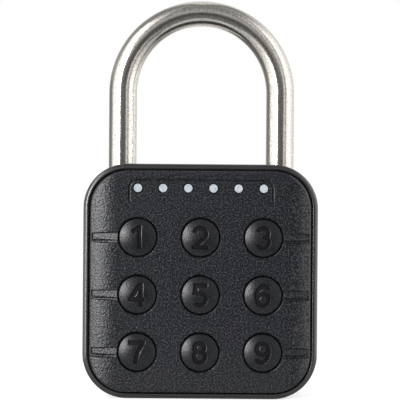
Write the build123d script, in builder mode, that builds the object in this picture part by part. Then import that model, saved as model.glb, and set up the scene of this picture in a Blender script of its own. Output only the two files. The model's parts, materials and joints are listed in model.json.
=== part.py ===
"""Digital combination padlock with a nine-key front, a steel shackle and a geared latch.

Millimetres. +X is to the right of the face, +Z is up and the keys face -Y.
The origin is the middle of the underside, half way between the key crowns and the back.
"""

from build123d import *
from math import acos, cos, pi, radians, sin, sqrt, tan
import os

os.makedirs("parts", exist_ok=True)

# Body
body_width = 55.0
body_height = 55.0
casing_depth = 20.8
corner_radius = 10.4
casing_wall = 2.8
back_wall = 2.2
rim_wall = 1.25
rim_round = 1.0
rim_inner_round = 0.2
back_round = 3.0
overrun = 1.0

# Front cover
cover_gap = 0.45
cover_proud = 1.8
cover_plate = 2.4
cover_skirt_wall = 1.6
seal_inset = 0.1
cover_roll_gap = 0.09
cover_roll_drop = 1.2
cover_edge_round = 0.5
seal_thickness = 0.5
skirt_depth = 1.4

# Keys
key_column_share = 0.5678
key_row_share = 0.5185
keypad_below_middle = 3.1
key_cap_radius = 4.38
key_hole_clearance = 0.33
key_hole_chamfer = 0.25
key_proud = 0.4
key_crown_height = 0.75
key_edge_round = 0.28
key_flange_width = 0.8
key_flange_thickness = 0.8
key_flange_gap = 0.1
key_travel = 0.8
key_stop_gap = 0.4
digit_height = 5.7
digit_stroke = 1.2
digit_depth = 0.5

# Lamps and the bracket groove over them
lamp_count = 6
lamp_pitch = 5.87
lamp_radius = 0.96
lamp_hole_clearance = 0.24
lamp_sink = 0.08
lamp_below_top = 5.7
bracket_margin = 2.1
bracket_rise = 1.85
bracket_leg = 4.7
bracket_corner_radius = 1.9
bracket_line = 0.24
bracket_shoulder = 0.36
bracket_depth = 0.5

# Side channels
channel_height = 1.65
channel_above_row = 0.2
channel_inner_depth = 0.1
channel_outer_depth = 0.55
channel_end_wall = 0.1
channel_wall_run = 0.26
channel_ridge = 0.16
channel_line = 0.4
channel_line_wall_run = 0.14
channel_line_depth_share = 0.6

# Shackle
shackle_plane_behind_middle = 1.1
leg_radius = 3.34
leg_side_inset = 8.65
shackle_rise = 39.3
shackle_lift = 15.0
toe_depth = 14.0
heel_depth = 37.0
leg_tip_chamfer = 0.8
casing_hole_clearance = 0.25
leg_running_clearance = 0.1
neck_radius = 2.5
spring_wire = 0.6
spring_coil_radius = 2.4
spring_pitch = 1.45
heel_foot = 2.5
retainer_thickness = 1.2
retainer_clearance = 0.3
retainer_wall = 0.9
shoulder_clearance = 0.1

# Latch
latch_below_top = 8.9
bolt_height = 3.0
bolt_width = 4.4
bolt_travel = 1.9
bolt_rest_gap = 0.31
bolt_guide_clearance = 0.15
bolt_tip_length = 4.1
notch_clearance = 0.2
notch_side_clearance = 0.35
gear_module = 0.4
gear_teeth = 12
pressure_angle = 20.0
tooth_backlash = 0.1
rack_addendum_share = 0.68
rack_root_share = 1.25
gear_root_share = 1.2
rack_backing = 1.0
rack_end_reach = 3.75
rack_mesh_gap = 1.2
rack_teeth = 6
pinion_height = 2.8
shaft_radius = 1.0
shaft_hole_clearance = 0.2
shaft_top_reach = 0.15
shaft_seat_depth = 1.5
shaft_running_clearance = 0.08
latch_cover_thickness = 0.8
latch_cover_margin = 3.1
latch_cover_overhang = 1.2
latch_cover_notch_gap = 0.3
latch_cover_screw_spacing_z = 6.4

# Chassis
chassis_clearance = 0.3
chassis_front_wall = 0.2
chassis_top_gap = 1.2
head_height = 14.5
column_wall = 2.1
column_foot = 3.2
spring_seat = 2.0
toe_floor_gap = 1.5
toe_block_drop = 3.3
latch_floor = 1.55
pillar_half_width = 11.0
pillar_height = 16.5
seal_ring_height = 1.4
seal_ring_width = 0.5
seal_ring_clearance = 0.1

# Motor
motor_radius = 6.0
motor_half_depth = 5.0
gearbox_length = 9.0
motor_length = 15.0
motor_bay_clearance = 0.2
gearbox_window_width = 8.0
gearbox_window_height = 5.6
gearbox_window_depth = 1.2
motor_end_boss_radius = 2.0
motor_end_boss_height = 0.8
clamp_thickness = 0.4
clamp_height = 5.0
clamp_ear = 4.4
clamp_rise = 4.0

# Fasteners
small_screw_radius = 0.8
small_head_radius = 1.5
small_head_height = 0.5
board_head_height = 0.9
board_screw_length = 4.0
latch_screw_length = 3.3
clamp_screw_length = 2.8
thread_clearance = 0.05
cover_screw_radius = 1.0
cover_screw_head_radius = 1.9
cover_screw_head_height = 1.3
cover_screw_length = 8.4
screw_clearance = 0.2
head_clearance = 0.25
drive_radius = 0.6
drive_depth_share = 0.6

# Electronics
board_thickness = 1.2
board_side_gap = 1.3
board_bottom = 5.0
board_top_margin = 3.6
board_corner_radius = 6.0
mat_thickness = 0.8
mat_top_margin = 10.5
mat_inset = 0.2
mat_dome_radius = 3.4
mat_dome_top_radius = 2.0
mat_dome_wall = 0.4
mat_dome_roof = 0.5
mat_gap = 0.05
boss_radius = 1.8
boss_hole_clearance = 0.3
guide_bar_margin = 1.5
guide_bar_height = 2.6
guide_bar_thickness = 0.8
guide_stub_radius = 1.2
led_width = 1.6
led_height = 0.8
led_thickness = 0.7
led_gap = 0.2
chip_side = 6.0
chip_thickness = 0.9
chip_inset = 8.9
chip_z = 24.5
buzzer_radius = 4.5
buzzer_thickness = 3.0
buzzer_vent_radius = 0.7
buzzer_vent_depth = 0.6
buzzer_inset = 9.9
buzzer_z = 12.0
battery_column_gap = 1.3
battery_side_gap = 6.7
battery_motor_gap = 3.3
battery_depth = 7.4
battery_round = 1.2
battery_bottom = 3.6
battery_pad_thickness = 0.8
battery_pad_share = (0.9, 0.75)
lead_radius = 0.4
lead_bend = 1.2
lead_half_spacing = 0.8
battery_lead_inset = 3.4
battery_lead_rise = 1.7
motor_lead_half_spacing = 3.0
motor_lead_drop = 1.5

# Charging socket and its cover
socket_width = 8.94
socket_thickness = 3.26
socket_length = 7.3
socket_wall = 0.3
socket_tongue_width = 6.7
socket_tongue_thickness = 0.7
socket_tongue_sink = 0.8
socket_back = 1.2
socket_mouth = 2.1
socket_slot_clearance = 0.3
port_cover_width = 12.0
port_cover_depth = 5.4
port_cover_thickness = 1.2
port_cover_sink = 0.1
port_cover_clearance = 0.2
port_stem_height = 0.5
port_stem_wall = 0.8
port_stem_inset = 0.1
port_notch_width = 2.4
port_notch_depth = 0.5

# Lug and hooks of the cover
lug_half_width = 1.9
lug_offset = 0.35
lug_half_height = 1.85
lug_block_gap = 0.26
lug_beyond_screw = 2.3
lug_slot_clearance = 0.3
hook_x = 12.0
hook_width = 5.0
hook_thickness = 1.3
hook_clearance = 0.15
hook_barb_drop = 0.85
hook_barb_length = 1.1
hook_pocket_clearance = 0.2
hook_root = 0.7
hook_behind_ledge = 0.8

# Places worked out from the sizes above
body_middle_z = body_height / 2
overall_depth = key_proud + cover_proud + casing_depth
back_y = overall_depth / 2
rim_y = back_y - casing_depth
face_y = rim_y - cover_proud
crown_y = face_y - key_proud
back_inner_y = back_y - back_wall
plate_back_y = face_y + cover_plate
skirt_back_y = plate_back_y + skirt_depth
ledge_y = skirt_back_y + seal_thickness

mouth_width = body_width - 2 * rim_wall
mouth_height = body_height - 2 * rim_wall
cavity_width = body_width - 2 * casing_wall
cavity_height = body_height - 2 * casing_wall
cavity_radius = corner_radius - casing_wall
cover_inset = rim_wall + cover_gap
cover_half_width = body_width / 2 - cover_inset
cover_half_height = body_height / 2 - cover_inset
cover_radius = corner_radius - cover_inset
key_pitch_x = cover_half_width * key_column_share
key_pitch_z = cover_half_height * key_row_share
key_hole_radius = key_cap_radius + key_hole_clearance
roll_start = key_pitch_x + key_hole_radius + key_hole_chamfer + cover_roll_gap
cover_roll_width = cover_half_width - roll_start
roll_radius = (cover_roll_width**2 + cover_roll_drop**2) / (2 * cover_roll_drop)
roll_edge_y = face_y + cover_roll_drop

keypad_z = body_middle_z - keypad_below_middle
key_places = [
    (key_pitch_x * (column - 1), keypad_z - key_pitch_z * (row - 1))
    for row in range(3)
    for column in range(3)
]
key_edge_y = crown_y + key_crown_height
flange_front_y = plate_back_y + key_flange_gap
flange_back_y = flange_front_y + key_flange_thickness
dome_radius = (key_cap_radius**2 + key_crown_height**2) / (2 * key_crown_height)

lamp_z = body_height - lamp_below_top
lamp_row_half = lamp_pitch * (lamp_count - 1) / 2
bracket_half_width = lamp_row_half + bracket_margin
bracket_top_z = lamp_z + bracket_rise
bracket_end_z = bracket_top_z - bracket_leg

mech_y = shackle_plane_behind_middle
latch_z = body_height - latch_below_top
toe_end_z = body_height - toe_depth
heel_end_z = body_height - heel_depth
leg_half_spacing = body_width / 2 - leg_side_inset
arch_centre_z = body_height + shackle_rise - leg_radius - leg_half_spacing
neck_bottom_z = heel_end_z + heel_foot
retainer_bottom_z = neck_bottom_z + shackle_lift + shoulder_clearance
neck_top_z = retainer_bottom_z + retainer_thickness + retainer_clearance + shoulder_clearance
notch_flat = leg_radius - (bolt_travel - bolt_rest_gap) - notch_clearance
notch_height = bolt_height + 2 * notch_side_clearance

pitch_radius = gear_module * gear_teeth / 2
base_radius = pitch_radius * cos(radians(pressure_angle))
gear_tip_radius = pitch_radius + gear_module
gear_root_radius = pitch_radius - gear_module * gear_root_share
rack_pitch_gap = pitch_radius + gear_module * rack_root_share
rack_back_gap = rack_pitch_gap + rack_backing
bolt_tip_x = leg_half_spacing - leg_radius - bolt_rest_gap
bolt_shoulder_x = bolt_tip_x - bolt_tip_length
bolt_inner_x = gear_tip_radius + rack_mesh_gap
pocket_half_width = bolt_shoulder_x + bolt_travel + notch_clearance
pocket_height = bolt_height + 2 * bolt_guide_clearance
pocket_half_depth = rack_back_gap + bolt_guide_clearance

chassis_front_y = mech_y - pocket_half_depth - chassis_front_wall
chassis_back_y = back_inner_y - chassis_clearance
chassis_half_width = cavity_width / 2 - chassis_clearance
chassis_corner = cavity_radius - chassis_clearance
head_top_z = body_height - casing_wall - chassis_top_gap
head_bottom_z = head_top_z - head_height
column_bottom_z = casing_wall + column_foot
spring_bottom_z = column_bottom_z + spring_seat
toe_floor_z = toe_end_z - toe_floor_gap
toe_block_bottom_z = head_bottom_z - toe_block_drop
gearbox_top_z = latch_z - pocket_height / 2 - latch_floor
gearbox_bottom_z = gearbox_top_z - gearbox_length
motor_bottom_z = gearbox_bottom_z - motor_length
pillar_front_y = mech_y + motor_half_depth
pillar_bottom_z = head_bottom_z - pillar_height
leg_bore_radius = leg_radius + leg_running_clearance
column_width = chassis_half_width - leg_half_spacing + leg_bore_radius + column_wall
column_x = column_width / 2 - chassis_half_width
retainer_half_width = column_width / 2 - retainer_wall
seal_ring_bottom_z = head_top_z + seal_ring_clearance

mat_front_y = flange_back_y + key_travel + key_stop_gap
board_front_y = mat_front_y + mat_thickness
board_back_y = board_front_y + board_thickness
mat_dome_height = mat_front_y - flange_back_y - mat_gap
board_half_width = cavity_width / 2 - board_side_gap
board_height = body_height - board_top_margin - board_bottom
board_middle_z = board_bottom + board_height / 2
mat_height = body_height - mat_top_margin - board_bottom
lug_x = leg_half_spacing + lug_offset
lug_z = toe_block_bottom_z - lug_block_gap - lug_half_height
boss_places = [
    (side * key_pitch_x / 2, keypad_z + up * key_pitch_z / 2) for side in (-1, 1) for up in (-1, 1)
]
screw_head_seat_z = toe_floor_z - cover_screw_head_height - head_clearance

socket_y = board_back_y + socket_thickness / 2
battery_back_y = back_inner_y - battery_pad_thickness
battery_front_y = battery_back_y - battery_depth
battery_top_z = motor_bottom_z - battery_motor_gap
battery_height = battery_top_z - battery_bottom
battery_left_x = column_width - chassis_half_width + battery_column_gap
battery_right_x = cavity_width / 2 - battery_side_gap
battery_width = battery_right_x - battery_left_x
battery_x = (battery_left_x + battery_right_x) / 2
chip_x = board_half_width - chip_inset
buzzer_x = board_half_width - buzzer_inset


def facing(y):
    """Plane across the lock at y. Its normal points out of the front, and its own axes are X and Z."""
    return Plane.XZ.offset(-y)


def level(z):
    """Horizontal plane at height z."""
    return Plane.XY.offset(z)


def panel(width, height, radius):
    """Rounded square centred on the body, drawn in the sketch that is open."""
    with Locations((0, body_middle_z)):
        RectangleRounded(width, height, radius)


def screws(seat, places, head_radius, head_height, shank_radius, length):
    """Equal screws whose heads stand on the seat plane and whose shanks run behind it."""
    with BuildSketch(seat) as heads:
        with Locations(*places):
            Circle(head_radius)
    extrude(heads.sketch, amount=head_height)
    with BuildSketch(seat) as shanks:
        with Locations(*places):
            Circle(shank_radius)
    extrude(shanks.sketch, amount=-length)
    with BuildSketch(seat.offset(head_height)) as drives:
        with Locations(*places):
            RegularPolygon(drive_radius, 6)
    extrude(drives.sketch, amount=-head_height * drive_depth_share, mode=Mode.SUBTRACT)


def holes(seat, places, radius, depth):
    """Equal round holes that run from the seat plane, against its normal."""
    with BuildSketch(seat) as openings:
        with Locations(*places):
            Circle(radius)
    extrude(openings.sketch, amount=-depth, mode=Mode.SUBTRACT)


def finish(node, label):
    """Names a finished piece and writes it."""
    node.part.label = label
    export_step(node.part, f"parts/{label}.step")


leg_places = [(-leg_half_spacing, mech_y), (leg_half_spacing, mech_y)]
heel_place = leg_places[0]
toe_place = leg_places[1]

# Outer casing: a cast cup, open to the front, with a ledge inside its mouth
with BuildPart() as outer_casing:
    with BuildSketch(facing(rim_y)):
        panel(body_width, body_height, corner_radius)
    extrude(amount=-casing_depth)
    fillet(outer_casing.faces().sort_by(Axis.Y)[0].edges(), radius=rim_round)
    fillet(outer_casing.faces().sort_by(Axis.Y)[-1].edges(), radius=back_round)
    with BuildSketch(facing(rim_y)):
        panel(mouth_width, mouth_height, corner_radius - rim_wall)
    extrude(amount=rim_y - ledge_y, mode=Mode.SUBTRACT)
    lip = outer_casing.faces().filter_by(Axis.Y).sort_by(Axis.Y)[0]
    fillet(lip.inner_wires().edges(), radius=rim_inner_round)
    with BuildSketch(facing(ledge_y)):
        panel(cavity_width, cavity_height, cavity_radius)
    extrude(amount=ledge_y - back_inner_y, mode=Mode.SUBTRACT)
    holes(level(body_height), leg_places, leg_radius + casing_hole_clearance, corner_radius)
    holes(
        level(seal_ring_bottom_z + seal_ring_height + seal_ring_clearance),
        leg_places,
        leg_bore_radius + seal_ring_width + seal_ring_clearance,
        corner_radius / 2,
    )
    port_recess_depth = port_cover_sink + port_cover_thickness
    with BuildSketch(level(0)):
        with Locations((0, socket_y)):
            SlotOverall(
                port_cover_width + 2 * port_cover_clearance, port_cover_depth + 2 * port_cover_clearance
            )
    extrude(amount=port_recess_depth, mode=Mode.SUBTRACT)
    with BuildSketch(level(0)):
        with Locations((0, socket_y)):
            SlotOverall(
                socket_width + 2 * socket_slot_clearance, socket_thickness + 2 * socket_slot_clearance
            )
    extrude(amount=casing_wall + overrun, mode=Mode.SUBTRACT)
    barb_front_y = ledge_y + hook_behind_ledge
    barb_middle_y = barb_front_y + hook_barb_length / 2
    with BuildSketch(level(casing_wall)):
        with Locations((-hook_x, barb_middle_y), (hook_x, barb_middle_y)):
            Rectangle(
                hook_width + 2 * hook_pocket_clearance, hook_barb_length + 2 * hook_pocket_clearance
            )
    extrude(amount=-(hook_barb_drop - hook_clearance + hook_pocket_clearance), mode=Mode.SUBTRACT)
finish(outer_casing, "outer_casing")


def cut_channel(side, middle_z, height, wall_run, inner_depth, outer_depth):
    """Cuts a side channel with sloped walls, which deepens towards the cover's edge."""
    inner_x = key_pitch_x + key_cap_radius
    outer_x = cover_half_width - channel_end_wall
    sections = []
    for x, depth, run in (
        (inner_x, inner_depth, wall_run * inner_depth / outer_depth),
        (outer_x - wall_run, outer_depth, wall_run),
    ):
        surface_y = face_y + roll_radius - sqrt(roll_radius**2 - max(x - roll_start, 0) ** 2)
        widening = run * overrun / depth
        with BuildSketch(Plane.YZ.offset(side * x)) as section:
            Polygon(
                (surface_y - overrun, middle_z - height / 2 - widening),
                (surface_y - overrun, middle_z + height / 2 + widening),
                (surface_y + depth, middle_z + height / 2 - run),
                (surface_y + depth, middle_z - height / 2 + run),
                align=None,
            )
        sections.append(section.sketch)
    loft(sections, ruled=True, mode=Mode.SUBTRACT)


# Front cover: a plate that rolls back at its left and right edges, with a skirt behind it
with BuildPart() as front_cover:
    with BuildSketch(facing(skirt_back_y)):
        panel(2 * cover_half_width, 2 * cover_half_height, cover_radius)
    extrude(amount=skirt_back_y - face_y)
    with BuildSketch(level(0)):
        with BuildLine():
            Polyline(
                (-cover_half_width, roll_edge_y),
                (-cover_half_width, skirt_back_y),
                (cover_half_width, skirt_back_y),
                (cover_half_width, roll_edge_y),
            )
            TangentArc((roll_start, face_y), (cover_half_width, roll_edge_y), tangent=(1, 0))
            Line((roll_start, face_y), (-roll_start, face_y))
            TangentArc((-roll_start, face_y), (-cover_half_width, roll_edge_y), tangent=(-1, 0))
        make_face()
    extrude(amount=body_height, mode=Mode.INTERSECT)
    outline = front_cover.edges().filter_by(
        lambda edge: edge.center().Y < roll_edge_y + cover_edge_round / 2
        and abs(abs(edge.center().X) - roll_start) > cover_edge_round
    )
    fillet(outline, radius=cover_edge_round)
    with BuildSketch(facing(plate_back_y)):
        panel(
            2 * (cover_half_width - cover_skirt_wall),
            2 * (cover_half_height - cover_skirt_wall),
            cover_radius - cover_skirt_wall,
        )
    extrude(amount=-skirt_depth, mode=Mode.SUBTRACT)
    holes(facing(face_y), key_places, key_hole_radius, cover_plate)
    hole_rims = (
        front_cover.edges()
        .filter_by(GeomType.CIRCLE)
        .filter_by(lambda edge: abs(edge.radius - key_hole_radius) < key_hole_chamfer)
        .group_by(Axis.Y)[0]
    )
    chamfer(hole_rims, length=key_hole_chamfer)
    for row in range(3):
        row_z = key_places[3 * row][1] + channel_above_row
        line_z = row_z - channel_height / 2 - channel_ridge - channel_line / 2
        line_inner_depth = channel_inner_depth * channel_line_depth_share
        line_outer_depth = channel_outer_depth * channel_line_depth_share
        for side in (-1, 1):
            cut_channel(
                side, row_z, channel_height, channel_wall_run, channel_inner_depth, channel_outer_depth
            )
            cut_channel(
                side, line_z, channel_line, channel_line_wall_run, line_inner_depth, line_outer_depth
            )
    with BuildSketch(facing(face_y)):
        with BuildLine() as bracket:
            FilletPolyline(
                (-bracket_half_width, bracket_end_z),
                (-bracket_half_width, bracket_top_z),
                (bracket_half_width, bracket_top_z),
                (bracket_half_width, bracket_end_z),
                radius=bracket_corner_radius,
            )
        trace(line_width=bracket_line)
    extrude(amount=-bracket_depth, mode=Mode.SUBTRACT)
    fillet(front_cover.edges(Select.LAST).group_by(Axis.Y)[0], radius=bracket_shoulder)
    lamp_places = [
        (lamp_pitch * lamp - lamp_row_half, lamp_z) for lamp in range(lamp_count)
    ]
    holes(facing(face_y), lamp_places, lamp_radius + lamp_hole_clearance, cover_plate)
    with BuildSketch(facing(board_front_y)):
        with Locations(*boss_places):
            Circle(boss_radius)
    extrude(amount=board_front_y - plate_back_y)
    pilot_depth = board_screw_length - board_thickness + thread_clearance
    with BuildSketch(facing(board_front_y)):
        with Locations(*boss_places):
            Circle(small_screw_radius + thread_clearance)
    extrude(amount=pilot_depth, mode=Mode.SUBTRACT)
    with BuildSketch(facing(plate_back_y)):
        with Locations((lug_x, lug_z)):
            Rectangle(2 * lug_half_width, 2 * lug_half_height)
    extrude(amount=plate_back_y - mech_y - lug_beyond_screw)
    holes(
        level(lug_z + lug_half_height),
        [toe_place],
        cover_screw_radius + thread_clearance,
        2 * lug_half_height,
    )
    hook_floor_z = casing_wall + hook_clearance
    for side in (-1, 1):
        with BuildSketch(level(hook_floor_z)):
            arm_front_y = skirt_back_y - hook_root
            arm_back_y = barb_front_y + hook_barb_length
            with Locations((side * hook_x, (arm_front_y + arm_back_y) / 2)):
                Rectangle(hook_width, arm_back_y - arm_front_y)
        extrude(amount=hook_thickness)
        with BuildSketch(level(hook_floor_z)):
            with Locations((side * hook_x, barb_middle_y)):
                Rectangle(hook_width, hook_barb_length)
        extrude(amount=-hook_barb_drop)
finish(front_cover, "front_cover")

# Gasket between the cover's skirt and the casing's ledge
with BuildPart() as cover_seal:
    with BuildSketch(facing(skirt_back_y)):
        panel(
            2 * (cover_half_width - seal_inset),
            2 * (cover_half_height - seal_inset),
            cover_radius - seal_inset,
        )
        with Locations((0, body_middle_z)):
            RectangleRounded(
                cavity_width + 2 * seal_inset,
                cavity_height + 2 * seal_inset,
                cavity_radius + seal_inset,
                mode=Mode.SUBTRACT,
            )
    extrude(amount=-seal_thickness)
finish(cover_seal, "cover_seal")

# Screw that holds the cover's lug, under the toe leg
with BuildPart() as cover_screw:
    screws(
        level(screw_head_seat_z),
        [toe_place],
        cover_screw_head_radius,
        cover_screw_head_height,
        cover_screw_radius,
        cover_screw_length,
    )
finish(cover_screw, "cover_screw")

# Digits in shares of the half height of their centre lines. Rings have a centre and a radius, a gap
# is cut from them, and a pen draws lines, arcs by centre, radius, first angle and sweep, and bends
digit_shares = {
    1: [
        ("pen", ("line", (0.17, -1.27), (0.17, 1.27))),
        ("pen", ("line", (0.12, 1), (-0.55, 0.5))),
    ],
    2: [
        ("pen", ("arc", (0, 0.4), 0.6, 170, -220), ("line", (0.386, -0.06), (-0.5, -0.804))),
        ("pen", ("line", (-0.9, -1), (0.88, -1))),
    ],
    3: [
        ("rings", ((0, 0.5), 0.5), ((0, -0.43), 0.57)),
        ("gap", (0, 0.5), (-1.3, 0.85), (-1.3, -0.78), (0, -0.43), (-0.14, -0.17), (-0.14, 0.32)),
    ],
    4: [
        ("pen", ("line", (0.38, -1.27), (0.38, 1.27))),
        ("pen", ("line", (0.28, 1.1), (-0.68, -0.5))),
        ("pen", ("line", (-0.95, -0.5), (0.84, -0.5))),
    ],
    5: [
        ("pen", ("line", (0.84, 1), (-0.44, 1), (-0.5, 0))),
        ("pen", ("arc", (0, -0.4), 0.6, 135, -280)),
    ],
    6: [
        ("rings", ((0, -0.42), 0.58)),
        (
            "pen",
            ("bend", (-0.57, -0.5), (-0.44, 0.6), (0.06, 0.98)),
            ("bend", (0.06, 0.98), (0.4, 0.88), (0.58, 0.56)),
        ),
    ],
    7: [
        ("pen", ("line", (-0.88, 1), (0.9, 1))),
        ("pen", ("bend", (0.6, 0.82), (0.08, -0.1), (-0.14, -1.27))),
    ],
    8: [("rings", ((0, 0.5), 0.5), ((0, -0.43), 0.57))],
    9: [
        ("rings", ((0, 0.42), 0.58)),
        (
            "pen",
            ("bend", (0.57, 0.5), (0.44, -0.6), (-0.06, -0.98)),
            ("bend", (-0.06, -0.98), (-0.4, -0.88), (-0.58, -0.56)),
        ),
    ],
}
digit_reach = (digit_height - digit_stroke) / 2


def draw_digit(number, centre):
    """Draws one digit about a centre, in the sketch that is open."""

    def place(point):
        return (centre[0] + point[0] * digit_reach, centre[1] + point[1] * digit_reach)

    for kind, *values in digit_shares[number]:
        if kind == "rings":
            for half_stroke, mode in ((digit_stroke / 2, Mode.ADD), (-digit_stroke / 2, Mode.SUBTRACT)):
                for middle, radius in values:
                    with Locations(place(middle)):
                        Circle(radius * digit_reach + half_stroke, mode=mode)
        elif kind == "gap":
            Polygon(*[place(point) for point in values], align=None, mode=Mode.SUBTRACT)
        else:
            with BuildLine() as pen:
                for form, *shape in values:
                    if form == "line":
                        Polyline(*[place(point) for point in shape])
                    elif form == "bend":
                        ThreePointArc(*[place(point) for point in shape])
                    else:
                        middle, radius, first_angle, sweep_angle = shape
                        CenterArc(place(middle), radius * digit_reach, first_angle, sweep_angle)
            trace(pen.line, line_width=digit_stroke)


def turn_cap(centre, sink, inset):
    """Domed cap of a key, lowered by sink and narrowed by inset, with the dome's centre kept."""
    axis_plane = Plane(origin=(centre[0], 0, centre[1]), x_dir=(1, 0, 0), z_dir=(0, 0, 1))
    reach = key_cap_radius - inset
    dome_centre_y = crown_y + dome_radius
    dome_edge_y = dome_centre_y - sqrt((dome_radius - sink) ** 2 - reach**2)
    with BuildSketch(axis_plane) as profile:
        with BuildLine():
            RadiusArc((0, crown_y + sink), (reach, dome_edge_y), -(dome_radius - sink))
            Polyline(
                (reach, dome_edge_y),
                (reach, flange_back_y),
                (0, flange_back_y),
                (0, crown_y + sink),
            )
        make_face()
    revolve(profile.sketch, axis=Axis((centre[0], 0, centre[1]), (0, 1, 0)))


# Keys: domed caps with an engraved digit whose floor follows the dome
for number, place in enumerate(key_places, start=1):
    with BuildPart() as key:
        turn_cap(place, 0, 0)
        cap_rim = key.edges().filter_by(
            lambda edge: edge.is_closed and edge.center().Y < key_edge_y + key_edge_round
        )
        fillet(cap_rim, radius=key_edge_round)
        with BuildSketch(facing(crown_y - overrun)):
            draw_digit(number, place)
        extrude(amount=-(overrun + key_crown_height + 2 * digit_depth), mode=Mode.SUBTRACT)
        turn_cap(place, digit_depth, key_edge_round + digit_depth)
        with BuildSketch(facing(flange_back_y)):
            with Locations(place):
                Circle(key_cap_radius + key_flange_width)
        extrude(amount=key_flange_thickness)
    finish(key, f"key_{number}")

# Silicone mat with nine hollow return domes
with BuildPart() as key_mat:
    with BuildSketch(facing(board_front_y)):
        with Locations((0, board_bottom + mat_height / 2)):
            RectangleRounded(2 * (board_half_width - mat_inset), mat_height, board_corner_radius)
    extrude(amount=mat_thickness)
    with Locations(facing(mat_front_y)):
        with Locations(*key_places):
            Cone(
                mat_dome_radius,
                mat_dome_top_radius,
                mat_dome_height,
                align=(Align.CENTER, Align.CENTER, Align.MIN),
            )
            Cone(
                mat_dome_radius - mat_dome_wall,
                mat_dome_top_radius - mat_dome_wall,
                mat_dome_height - mat_dome_roof,
                align=(Align.CENTER, Align.CENTER, Align.MIN),
                mode=Mode.SUBTRACT,
            )
    holes(facing(mat_front_y), key_places, mat_dome_radius - mat_dome_wall, mat_thickness)
    holes(facing(mat_front_y), boss_places, boss_radius + boss_hole_clearance, mat_thickness)
    with BuildSketch(facing(mat_front_y)):
        with Locations((lug_x, lug_z)):
            Rectangle(
                2 * (lug_half_width + lug_slot_clearance), 2 * (lug_half_height + lug_slot_clearance)
            )
    extrude(amount=-mat_thickness, mode=Mode.SUBTRACT)
finish(key_mat, "key_mat")

# Circuit board, notched where the cover's lug passes it
with BuildPart() as circuit_board:
    with BuildSketch(facing(board_front_y)):
        with Locations((0, board_middle_z)):
            RectangleRounded(2 * board_half_width, board_height, board_corner_radius)
        notch_half_width = lug_half_width + lug_slot_clearance
        with Locations((lug_x, lug_z)):
            Rectangle(
                2 * notch_half_width, 2 * (lug_half_height + lug_slot_clearance), mode=Mode.SUBTRACT
            )
    extrude(amount=-board_thickness)
    holes(facing(board_front_y), boss_places, small_screw_radius + screw_clearance, board_thickness)
finish(circuit_board, "circuit_board")

# Screws from the board into the cover's bosses
with BuildPart() as board_screws:
    screws(
        Plane(origin=(0, board_back_y, 0), x_dir=(1, 0, 0), z_dir=(0, 1, 0)),
        [(x, -z) for x, z in boss_places],
        small_head_radius,
        board_head_height,
        small_screw_radius,
        board_screw_length,
    )
finish(board_screws, "board_screws")

# Clear moulding that brings the light to six windows
with BuildPart() as light_guide:
    with BuildSketch(facing(plate_back_y)):
        with Locations((0, lamp_z)):
            Rectangle(2 * (lamp_row_half + guide_bar_margin), guide_bar_height)
    extrude(amount=-guide_bar_thickness)
    with BuildSketch(facing(plate_back_y)):
        with Locations(*lamp_places):
            Circle(lamp_radius)
    extrude(amount=cover_plate - lamp_sink)
    with BuildSketch(facing(plate_back_y + guide_bar_thickness)):
        with Locations(*lamp_places):
            Circle(guide_stub_radius)
    led_front_y = board_front_y - led_thickness
    extrude(amount=-(led_front_y - led_gap - plate_back_y - guide_bar_thickness))
finish(light_guide, "light_guide")

# Light-emitting chips behind the windows
with BuildPart() as indicator_leds:
    with BuildSketch(facing(board_front_y)):
        with Locations(*lamp_places):
            Rectangle(led_width, led_height)
    extrude(amount=led_thickness)
finish(indicator_leds, "indicator_leds")

with BuildPart() as controller_chip:
    with BuildSketch(facing(board_back_y)):
        with Locations((chip_x, chip_z)):
            Rectangle(chip_side, chip_side)
    extrude(amount=-chip_thickness)
    chamfer(
        controller_chip.faces().sort_by(Axis.Y)[-1].edges(), length=chip_thickness / 4
    )
finish(controller_chip, "controller_chip")

with BuildPart() as buzzer:
    with BuildSketch(facing(board_back_y)):
        with Locations((buzzer_x, buzzer_z)):
            Circle(buzzer_radius)
    extrude(amount=-buzzer_thickness)
    with BuildSketch(facing(board_back_y + buzzer_thickness)):
        with Locations((buzzer_x, buzzer_z)):
            Circle(buzzer_vent_radius)
    extrude(amount=buzzer_vent_depth, mode=Mode.SUBTRACT)
finish(buzzer, "buzzer")

# Charging socket, whose mouth faces down through the casing's floor
with BuildPart() as charging_socket:
    with BuildSketch(level(socket_mouth)):
        with Locations((0, socket_y)):
            SlotOverall(socket_width, socket_thickness)
    extrude(amount=socket_length)
    with BuildSketch(level(socket_mouth)):
        with Locations((0, socket_y)):
            SlotOverall(socket_width - 2 * socket_wall, socket_thickness - 2 * socket_wall)
    extrude(amount=socket_length - socket_back, mode=Mode.SUBTRACT)
    with BuildSketch(level(socket_mouth + socket_tongue_sink)):
        with Locations((0, socket_y)):
            Rectangle(socket_tongue_width, socket_tongue_thickness)
    extrude(amount=socket_length - socket_tongue_sink - socket_back)
finish(charging_socket, "charging_socket")

# Rubber plug over the socket, flush with the underside
with BuildPart() as port_cover:
    with BuildSketch(level(port_cover_sink)):
        with Locations((0, socket_y)):
            SlotOverall(port_cover_width, port_cover_depth)
    extrude(amount=port_cover_thickness)
    with BuildSketch(level(port_recess_depth)):
        stem_gap = socket_slot_clearance - port_stem_inset
        with Locations((0, socket_y)):
            SlotOverall(socket_width + 2 * stem_gap, socket_thickness + 2 * stem_gap)
            SlotOverall(
                socket_width + 2 * stem_gap - 2 * port_stem_wall,
                socket_thickness + 2 * stem_gap - 2 * port_stem_wall,
                mode=Mode.SUBTRACT,
            )
    extrude(amount=port_stem_height)
    with BuildSketch(level(port_cover_sink)):
        with Locations((port_cover_width / 2, socket_y)):
            Circle(port_notch_width / 2)
    extrude(amount=port_notch_depth, mode=Mode.SUBTRACT)
finish(port_cover, "port_cover")

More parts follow.
